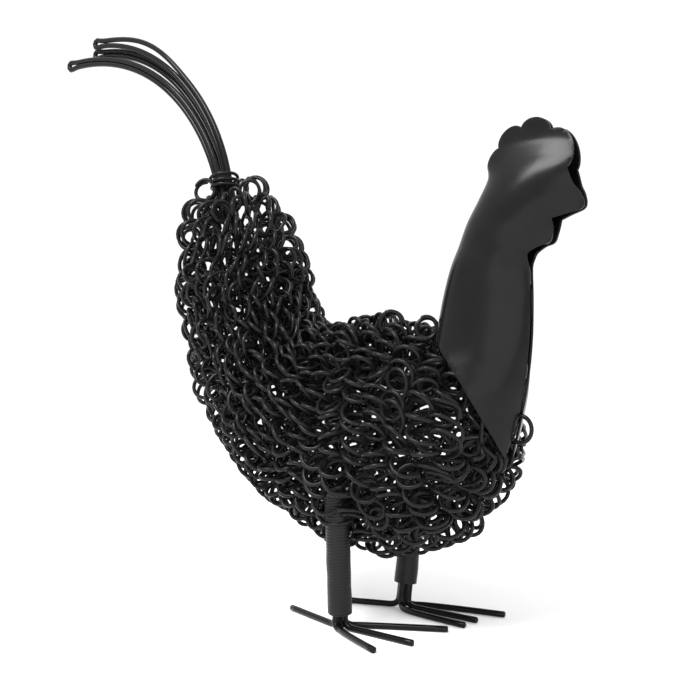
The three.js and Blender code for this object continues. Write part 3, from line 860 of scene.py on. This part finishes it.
def spring_wire(depth, first_row, hand, pitch):
    """The wire of one layer, loop by loop."""
    line, normal = spring_axis(depth, first_row, hand)
    seed = FIRST_SEED + int(depth)
    run = run_along(line)
    turns = run[-1] / pitch
    turn = np.linspace(0, turns, int(turns * SAMPLES_PER_TURN))
    bunch = 2 * np.pi * turn / TURNS_PER_BUNCH + BUNCH_SHIFT * uneven(turn, BUNCH_SHIFT_EVERY, seed)
    place = pitch * (turn + BUNCHING * TURNS_PER_BUNCH / (2 * np.pi) * np.sin(bunch))
    centre = sampled(place, run, line)
    steady = pitch * turn
    along = tangents(sampled(steady, run, line))
    out = square_to(unit(sampled(steady, run, normal)), along)
    across = np.cross(along, out)
    centre = (centre + out * (WANDER_OUT * uneven(turn, WANDER_EVERY, seed + 1))[:, None]
              + across * (WANDER_ACROSS * uneven(turn, WANDER_EVERY, seed + 2))[:, None])
    centre = clear_of_sheet(centre, SPRING_LOOP / 2)
    change = 1 + LOOP_CHANGE * uneven(turn, LOOP_CHANGE_EVERY, seed + 3)
    loop = (SPRING_LOOP - SPRING_WIRE) / 2 * change
    twisted = LOOP_TWIST * uneven(turn, TWIST_EVERY, seed + 4) ** 3
    facing = unit(along + out * (LOOP_LEAN * uneven(turn, WANDER_EVERY, seed + 5) + twisted)[:, None]
                  + across * (LOOP_LEAN * uneven(turn, WANDER_EVERY, seed + 6))[:, None])
    first = square_to(out, facing)
    second = np.cross(first, facing)
    phase = 2 * np.pi * turn[:, None]
    wire = centre + (np.cos(phase) * first + np.sin(phase) * second) * loop[:, None]
    for span in EASING_SPANS:
        wire = eased(wire, span)
    return wire


def make_spring(layer, depth, first_row, hand, pitch, meshes):
    wire = spring_wire(depth, first_row, hand, pitch)
    share = math.ceil(len(wire) / meshes)
    for number in range(meshes):
        part = wire[number * share:(number + 1) * share + 1]
        piece = make_object(f"spring_{layer}_{number + 1}", *tube(part, SPRING_WIRE / 2, WIRE_SIDES))
        settle(piece, wire_coating, "coated_wire", "body_coil")


for layer in SPRING_LAYERS:
    make_spring(*layer)


# Loops that stand off from their rows

# Name, middle, direction it faces, radius, turns and degrees it starts at
STRAY_LOOPS = [
    ("chest", (77, 0, 91), (0, 1, 0), 5.4, 1.3, 120),
    ("tail_rear", (-101.5, -8, 206.5), (-0.45, 0.87, -0.2), 5.4, 2.2, 200),
    ("back", (18, -10, 136), (-0.5, 0.85, 0.1), 5.0, 2.2, 240),
    ("nape", (35.5, -8, 133.5), (-0.6, 0.8, -0.15), 4.6, 1.8, 240),
]
STRAY_RISE = 1.3
STRAY_SAMPLES_PER_TURN = 28
STRAY_UNEVEN = 0.06
STRAY_CHAMFER = 0.3
STRAY_SIDES = 10


def make_stray_loop(name, middle, facing, radius, turns, start):
    """A loop of the spring that stands off from its row."""
    facing = unit(np.array(facing, float))
    first = unit(np.cross(facing, [0.0, 0.0, 1.0]))
    second = np.cross(facing, first)
    share = np.linspace(0, 1, int(turns * STRAY_SAMPLES_PER_TURN))[:, None]
    angle = np.radians(start) + 2 * np.pi * turns * share
    swell = radius * (1 + STRAY_UNEVEN * np.sin(1.7 * angle))
    line = np.array(middle) + (first * np.cos(angle) + second * np.sin(angle)) * swell
    line = line + facing * (share - 0.5) * STRAY_RISE * turns
    points, radii = cut_ends(line, SPRING_WIRE / 2, STRAY_CHAMFER)
    piece = make_object(f"stray_loop_{name}", *tube(points, radii, STRAY_SIDES))
    settle(piece, wire_coating, "coated_wire", "body_coil")


for stray_loop in STRAY_LOOPS:
    make_stray_loop(*stray_loop)


# Floor, light and camera

FLOOR_RADIUS = 8
FLOOR_COLOUR = (0.93, 0.93, 0.93, 1)
# A little light of the floor's own keeps the shadow as faint as in the photograph
FLOOR_GLOW = 0.1
WORLD_STRENGTH = 1.08
CAMERA_LENS = 51.94
CAMERA_SENSOR = 36
CAMERA_PLACE = (0.2796 + FRAME_FORWARD * MM, -0.3743, 0.124)
CAMERA_DIRECTION = (-0.616, 0.788, 0)


def make_floor():
    work = bmesh.new()
    bmesh.ops.create_circle(work, cap_ends=True, radius=FLOOR_RADIUS, segments=64)
    mesh = bpy.data.meshes.new("floor")
    work.to_mesh(mesh)
    work.free()
    floor = bpy.data.objects.new("floor", mesh)
    bpy.context.scene.collection.objects.link(floor)
    material = bpy.data.materials.new("pale_floor")
    material.use_nodes = True
    shader = material.node_tree.nodes["Principled BSDF"]
    shader.inputs["Base Color"].default_value = FLOOR_COLOUR
    shader.inputs["Roughness"].default_value = 0.9
    shader.inputs["Specular IOR Level"].default_value = 0.2
    shader.inputs["Emission Color"].default_value = (1, 1, 1, 1)
    shader.inputs["Emission Strength"].default_value = FLOOR_GLOW
    mesh.materials.append(material)


def make_light(name, place, aim, width, height, watts):
    data = bpy.data.lights.new(name, "AREA")
    data.shape = "RECTANGLE"
    data.size = width
    data.size_y = height
    data.energy = watts
    lamp = bpy.data.objects.new(name, data)
    lamp.location = place
    lamp.rotation_euler = (Vector(aim) - Vector(place)).to_track_quat("-Z", "Y").to_euler()
    bpy.context.scene.collection.objects.link(lamp)


def make_world():
    world = bpy.data.worlds.new("studio")
    world.use_nodes = True
    background = world.node_tree.nodes["Background"]
    background.inputs["Color"].default_value = (1, 1, 1, 1)
    background.inputs["Strength"].default_value = WORLD_STRENGTH
    bpy.context.scene.world = world


def make_camera():
    data = bpy.data.cameras.new("camera")
    data.lens = CAMERA_LENS
    data.sensor_width = CAMERA_SENSOR
    camera = bpy.data.objects.new("camera", data)
    camera.location = CAMERA_PLACE
    camera.rotation_euler = Vector(CAMERA_DIRECTION).to_track_quat("-Z", "Y").to_euler()
    bpy.context.scene.collection.objects.link(camera)
    bpy.context.scene.camera = camera


make_floor()
make_world()
make_light("key", place=(-0.057, -0.69, 1.035), aim=(0.154, 0, 0.205), width=0.68, height=0.42, watts=20)
make_light("side", place=(0.97, -0.85, 0.34), aim=(0.1, 0, 0.17), width=1.3, height=0.6, watts=3.6)
make_camera()
bpy.context.scene.view_settings.view_transform = "Standard"
